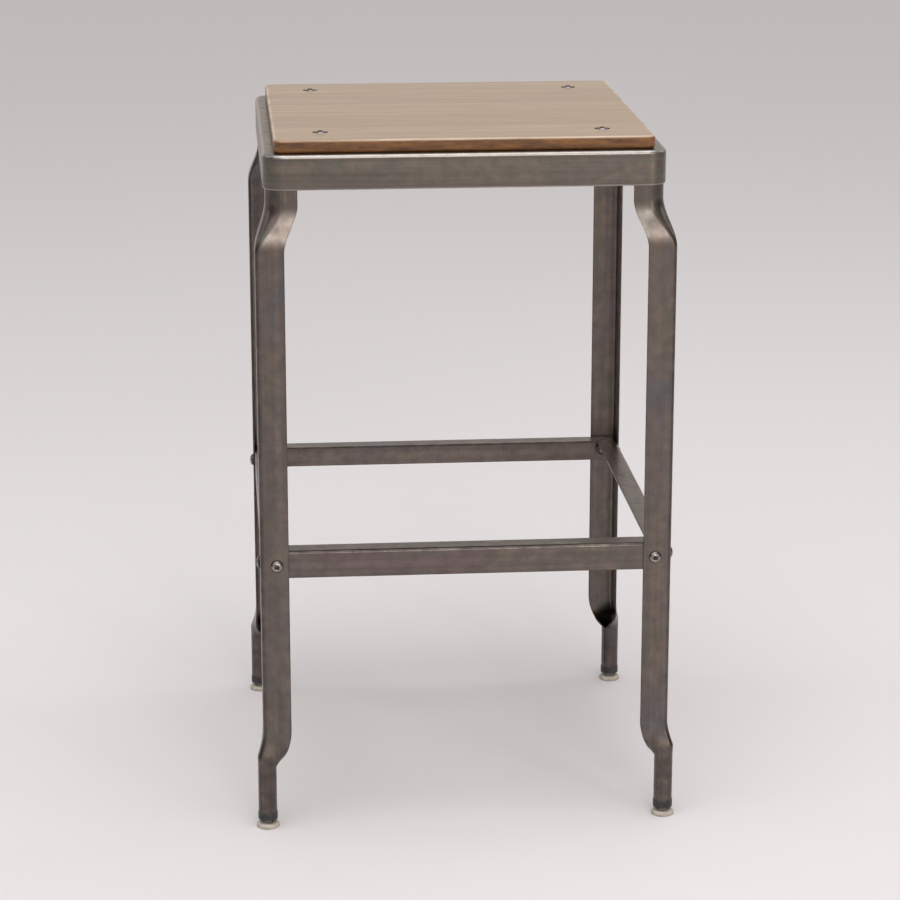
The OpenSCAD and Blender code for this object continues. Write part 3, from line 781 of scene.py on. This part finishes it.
def rail_bolt_places(distance):
    """One place on each outer face of a leg, its Z outwards, at that distance from the middle."""
    places = []
    for turn in (0, 90, 180, 270):
        for side in (-1, 1):
            around = Matrix.Rotation(math.radians(turn), 4, "Z")
            at = Matrix.Translation((side * RAIL_BOLT_X, -distance, RAIL_BOLT_Z))
            places.append(around @ at @ Matrix.Rotation(math.radians(90), 4, "X"))
    return places


def make_bolts(name, node, places, length):
    shell = Shell()
    for index, place in enumerate(places):
        # no two sockets were left at the same angle
        add_bolt(shell, place @ Matrix.Rotation(math.radians(17 * index), 4, "Z"), length)
    finish_piece(make_object(name, shell), BOLT_STEEL, "frame", [node])


def make_nuts(name, node, places, add):
    shell = Shell()
    for place in places:
        add(shell, place)
    finish_piece(make_object(name, shell), NUT_STEEL, "frame", [node])


def make_fasteners():
    make_bolts("seat_screws", "seat_bolts", seat_bolt_places(HEAD_SEAT_Z), SEAT_BOLT_LENGTH)
    make_nuts("seat_hex_nuts", "seat_nuts", seat_bolt_places(NUT_Z), add_nut)
    make_nuts("seat_flat_washers", "seat_washers", seat_bolt_places(WASHER_Z), add_washer)
    make_bolts("rail_screws", "rail_bolts", rail_bolt_places(LEG_OUT), RAIL_BOLT_LENGTH)
    make_nuts("rail_hex_nuts", "rail_nuts", rail_bolt_places(RAIL_OUT - SHEET - NUT_H), add_nut)


# ---- Levelling feet ----

def make_plug(name, place):
    """A bored plug in the tube, with a rim below it that has a moulding line around it."""
    node = "foot_plug_" + name
    bottom, top = low(node, 2), high(node, 2)
    rim_r = (high(node, 0) - low(node, 0)) / 2
    inside_r = TUBE_MEAN_R - SHEET / 2 - CLEARANCE
    mouth, soft, taper = 0.4 * MM, 1.2 * MM, 0.6 * MM
    line_r, line_z = rim_r - 0.12 * MM, bottom + 4 * MM
    profile = [(BORE_R, top - mouth, 0), (BORE_R, bottom + mouth, 0), (BORE_R + mouth, bottom, 0.6)]
    profile += [(rim_r - soft, bottom, 0)]
    profile += [(rim_r - soft + soft * math.sin(a), bottom + soft - soft * math.cos(a), 0.8)
                for a in (math.radians(degrees) for degrees in range(15, 91, 15))]
    profile += [(rim_r, line_z, 0), (line_r, line_z + 0.1 * MM, 0)]
    profile += [(line_r, line_z + 0.5 * MM, 0), (rim_r, line_z + 0.6 * MM, 0)]
    profile += [(rim_r, TUBE_BOTTOM - 0.3 * MM, 0.5), (rim_r - 0.3 * MM, TUBE_BOTTOM, 0.5)]
    profile += [(inside_r, TUBE_BOTTOM, 0), (inside_r, top - taper, 0), (inside_r - taper, top, 0)]
    profile += [(BORE_R + mouth, top, 0)]
    shell = Shell()
    shell.stack(*turned(profile, WIDE_STEPS), place, closed=True)
    finish_piece(make_object("tube_plug_" + name, shell), PLUG_PLASTIC, "frame", [node])


def make_stem(name, place):
    """A threaded stem with a hexagon collar below the plug and a flange held inside the pad."""
    node = "level_stem_" + name
    bottom, top = low(node, 2), high(node, 2)
    flange_r, flange_top = 7 * MM, bottom + 1.6 * MM
    collar_low = high("floor_pad_" + name, 2) + 0.1 * MM
    collar_high = low("foot_plug_" + name, 2) - 0.3 * MM
    core_r = THREAD_R - THREAD_DEPTH
    rings = [circle(flange_r, bottom), circle(flange_r, flange_top), circle(THREAD_R, flange_top)]
    rings += [circle(THREAD_R, collar_low), circle(NUT_TURNED_R, collar_low)]
    rings += [hexagon(NUT_AF, lambda radius: collar_low + chamfer_fall(radius)),
              hexagon(NUT_AF, lambda radius: collar_high - chamfer_fall(radius))]
    rings += [circle(NUT_TURNED_R, collar_high), circle(core_r, collar_high)]
    marks = [0, 0, 0, 0, 0.4, 1, 1, 0.4, 0]
    turns = thread(collar_high + 0.2 * MM, top - 0.6 * MM)
    rings += turns + [circle(core_r, top - 0.3 * MM), circle(core_r - 0.5 * MM, top)]
    marks += [0.5] * len(turns) + [0.5, 0.5]
    shell = Shell()
    shell.stack(rings, marks, place)
    finish_piece(make_object("screw_stem_" + name, shell), STEM_STEEL, "stem_" + name, [node])


def make_pad(name, place):
    """A round pad with a shallow hollow in its base and a socket inside for the stem's flange."""
    node = "floor_pad_" + name
    height = high(node, 2)
    radius = (high(node, 0) - low(node, 0)) / 2
    centre_r, hollow = 0.3 * MM, 0.3 * MM
    socket_r, socket_low, socket_high = 7.05 * MM, 1.5 * MM, 3.3 * MM
    profile = [(centre_r, hollow, 0), (7.5 * MM, hollow, 0), (8 * MM, 0, 0)]
    profile += [(radius - 1.0 * MM, 0, 0.6), (radius - 0.35 * MM, 0.3 * MM, 1), (radius, 1.0 * MM, 1)]
    profile += [(radius, height - 2.3 * MM, 0.4), (radius - 0.25 * MM, height - 1.7 * MM, 0.4)]
    profile += [(radius - 1.0 * MM, height - 0.9 * MM, 0), (radius - 2.2 * MM, height - 0.25 * MM, 0.2)]
    profile += [(radius - 3.2 * MM, height, 0), (BORE_R + 1.6 * MM, height, 0)]
    profile += [(BORE_R, height - 0.7 * MM, 0), (BORE_R, socket_high, 0)]
    profile += [(socket_r, socket_high, 0), (socket_r, socket_low, 0)]
    profile += [(centre_r, socket_low, 0)]
    shell = Shell()
    shell.stack(*turned(profile, WIDE_STEPS), place)
    finish_piece(make_object("glide_pad_" + name, shell), PAD_PLASTIC, "pad_" + name, [node])


# ---- Studio ----

def make_floor():
    half = 40.0
    corners = [(-half, -half, 0), (half, -half, 0), (half, half, 0), (-half, half, 0)]
    mesh = bpy.data.meshes.new("floor")
    mesh.from_pydata(corners, [], [(0, 1, 2, 3)])
    floor = bpy.data.objects.new("floor", mesh)
    bpy.context.scene.collection.objects.link(floor)
    material, _, shader, _ = new_material("studio_floor")
    shader.inputs["Base Color"].default_value = (0.76, 0.73, 0.735, 1)
    shader.inputs["Roughness"].default_value = 0.85
    mesh.materials.append(material)


def make_world():
    """A pale warm room, darker overhead and to the left and right."""
    world = bpy.data.worlds.new("studio")
    world.use_nodes = True
    tree = world.node_tree
    background = tree.nodes["Background"]
    direction = add_node(tree, "SeparateXYZ", {0: add_node(tree, "TexCoord").outputs["Generated"]}).outputs
    sky = ramp(tree, direction[2], [(0.0, (0.80, 0.72, 0.65)), (0.30, (0.74, 0.68, 0.62)),
                                    (0.65, (0.46, 0.45, 0.46))])
    sideways = remap(tree, calculate(tree, "ABSOLUTE", direction[0], 0), 0.55, 0.95)
    tree.links.new(mix(tree, sideways, sky, (0.20, 0.185, 0.18, 1)), background.inputs["Color"])
    background.inputs["Strength"].default_value = 0.95
    bpy.context.scene.world = world


def add_softbox(name, location, aim, width, height, power, colour=(1, 1, 1)):
    """A flat lamp of that width and height in metres and power in watts, turned towards aim."""
    light = bpy.data.lights.new(name, "AREA")
    light.shape = "RECTANGLE"
    light.size = width
    light.size_y = height
    light.energy = power
    light.color = colour
    lamp = bpy.data.objects.new(name, light)
    lamp.location = location
    lamp.rotation_euler = (Vector(aim) - Vector(location)).to_track_quat("-Z", "Y").to_euler()
    bpy.context.scene.collection.objects.link(lamp)


def add_soft_sun():
    """Even light over the whole floor, from high up on the camera's left."""
    light = bpy.data.lights.new("soft_sun", "SUN")
    light.energy = 0.8
    light.angle = math.radians(70)
    lamp = bpy.data.objects.new("soft_sun", light)
    lamp.rotation_euler = (math.radians(28), math.radians(-14), 0)
    bpy.context.scene.collection.objects.link(lamp)


def make_studio():
    make_floor()
    make_world()
    add_soft_sun()
    add_softbox("overhead_softbox", (0.2, -0.4, 3.4), (0, 0, 0.4), 3.2, 2.4, 45, (0.96, 0.975, 1.0))
    add_softbox("front_softbox", (0.5, -4.4, 2.5), (0, 0, 0.6), 1.7, 0.9, 45, (1.0, 0.96, 0.92))
    add_softbox("warm_strip", (2.3, -3.3, 1.3), (0, 0, 0.6), 0.4, 1.8, 14, (1.0, 0.84, 0.64))
    add_softbox("left_softbox", (-3.6, 0.6, 2.5), (0, 0, 0.5), 1.6, 2.2, 12)
    add_softbox("right_softbox", (3.8, 0.8, 2.5), (0, 0, 0.5), 1.4, 2.0, 12, (1.0, 0.97, 0.94))
    bpy.context.scene.view_settings.view_transform = "Standard"


def make_camera():
    camera = bpy.data.cameras.new("camera")
    camera.lens = CAMERA_LENS
    camera.sensor_width = CAMERA_SENSOR
    seen_from = bpy.data.objects.new("camera", camera)
    seen_from.location = (CAMERA_DISTANCE * math.sin(CAMERA_AZIMUTH),
                          -CAMERA_DISTANCE * math.cos(CAMERA_AZIMUTH), CAMERA_HEIGHT)
    look = Vector(CAMERA_AIM) - seen_from.location
    seen_from.rotation_euler = look.to_track_quat("-Z", "Y").to_euler()
    bpy.context.scene.collection.objects.link(seen_from)
    bpy.context.scene.camera = seen_from


make_camera()
for board in range(1, 6):
    make_board(board)
make_pan()
for side, angle in (("rear", 0), ("left", 90), ("front", 180), ("right", 270)):
    make_rail(side, angle)
make_fasteners()
for corner_name, signs in CORNERS.items():
    foot = Matrix.Translation((signs[0] * FOOT_AXIS, signs[1] * FOOT_AXIS, 0))
    make_corner_plate(corner_name, signs)
    make_leg(corner_name, signs)
    make_plug(corner_name, foot)
    make_stem(corner_name, foot)
    make_pad(corner_name, foot)
make_studio()
